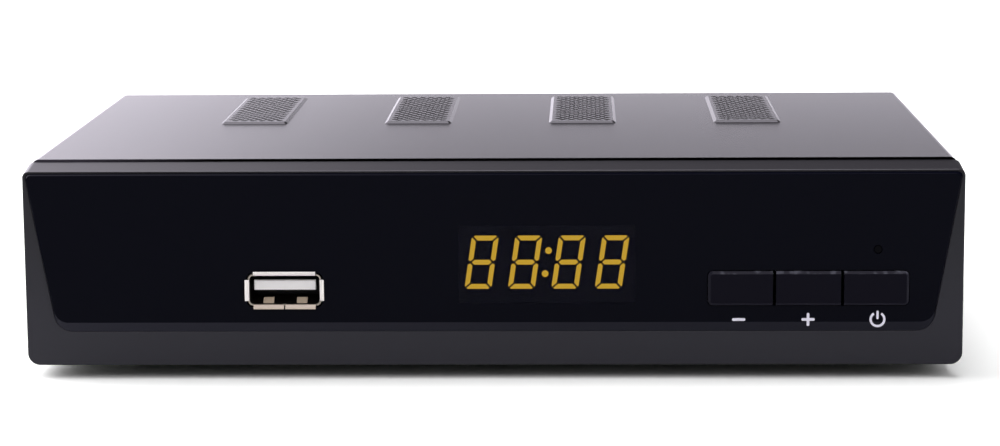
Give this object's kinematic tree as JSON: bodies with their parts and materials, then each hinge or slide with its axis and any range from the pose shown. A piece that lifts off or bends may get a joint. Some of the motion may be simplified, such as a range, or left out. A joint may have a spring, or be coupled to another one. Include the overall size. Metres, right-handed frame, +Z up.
{
  "type": "satellite tv receiver",
  "caption": "Low black set-top satellite TV receiver: gloss front lens with amber display, push buttons and USB socket, vented steel cover, rear aerial, HDMI, network and AV sockets.",
  "frame": {"origin": "on the desk under the middle of the whole receiver, sockets included", "axes": "+Z up, the front panel faces -Y, +X is to the right seen from the front"},
  "size_m": [0.1682, 0.116, 0.0397],
  "materials": {
    "cover_paint": "satin",
    "chassis_paint": "satin",
    "bezel_plastic": "matt",
    "lens_plastic": "gloss",
    "mask_ink": "matt",
    "mark_ink": "matt",
    "key_plastic": "gloss",
    "nickel": "polished",
    "tin_plate": "satin",
    "gold_plate": "polished",
    "socket_white": "satin",
    "socket_black": "satin",
    "socket_red": "satin",
    "socket_yellow": "satin",
    "board_laminate": "satin",
    "chip_moulding": "matt",
    "fin_aluminium": "satin",
    "can_sleeve": "gloss",
    "screw_black": "satin",
    "foot_rubber": "matt",
    "segment_amber": "gloss",
    "lamp_resin": "gloss",
    "pipe_resin": "gloss",
    "pad_rubber": "matt",
    "film_plastic": "satin"
  },
  "bodies": {
    "receiver": {"av_block": "socket_black", "av_contacts": "tin_plate", "av_insert_red": "socket_red", "av_insert_white": "socket_white", "av_insert_yellow": "socket_yellow", "av_shells": "nickel", "base_chassis": "chassis_paint", "board_link": "socket_black", "board_screws": "tin_plate", "capacitors": "can_sleeve", "cover_screws": "screw_black", "crystal": "tin_plate", "dc_jack": "socket_black", "dc_pin": "nickel", "display_body": "chip_moulding", "display_segments": "segment_amber", "feet": "foot_rubber", "flash_chip": "chip_moulding", "front_bezel": "bezel_plastic", "front_board": "board_laminate", "front_board_screws": "tin_plate", "front_lens": "lens_plastic", "front_marks": "mark_ink", "hdmi_contacts": "gold_plate", "hdmi_shell": "nickel", "hdmi_tongue": "socket_black", "heat_sink": "fin_aluminium", "inductors": "chip_moulding", "insulating_sheet": "film_plastic", "ir_receiver": "chip_moulding", "lan_contacts": "gold_plate", "lan_insert": "socket_black", "lan_magnetics": "chip_moulding", "lan_shell": "tin_plate", "lens_mask": "mask_ink", "light_pipe": "pipe_resin", "lnb_contact": "gold_plate", "lnb_insulator": "socket_white", "lnb_nut": "nickel", "lnb_shell": "nickel", "lnb_washer": "tin_plate", "main_board": "board_laminate", "main_chip": "chip_moulding", "memory_chips": "chip_moulding", "regulators": "chip_moulding", "standby_lamp": "lamp_resin", "switch_bodies": "chip_moulding", "thermal_pad": "pad_rubber", "top_cover": "cover_paint", "tuner_can": "tin_plate", "tuner_lid": "tin_plate", "usb_contacts": "gold_plate", "usb_shell": "nickel", "usb_tongue": "socket_white"},
    "minus_key": {"button_minus": "key_plastic", "plunger_minus": "socket_black"},
    "plus_key": {"button_plus": "key_plastic", "plunger_plus": "socket_black"},
    "power_key": {"button_power": "key_plastic", "plunger_power": "socket_black"}
  },
  "joints": [
    {"name": "minus_press", "type": "slide", "parent": "receiver", "child": "minus_key", "axis": [0, 1, 0], "range_m": [0, 0.0005], "stiffness_N_per_m": 3000},
    {"name": "plus_press", "type": "slide", "parent": "receiver", "child": "plus_key", "axis": [0, 1, 0], "range_m": [0, 0.0005], "stiffness_N_per_m": 3000},
    {"name": "power_press", "type": "slide", "parent": "receiver", "child": "power_key", "axis": [0, 1, 0], "range_m": [0, 0.0005], "stiffness_N_per_m": 3000}
  ]
}
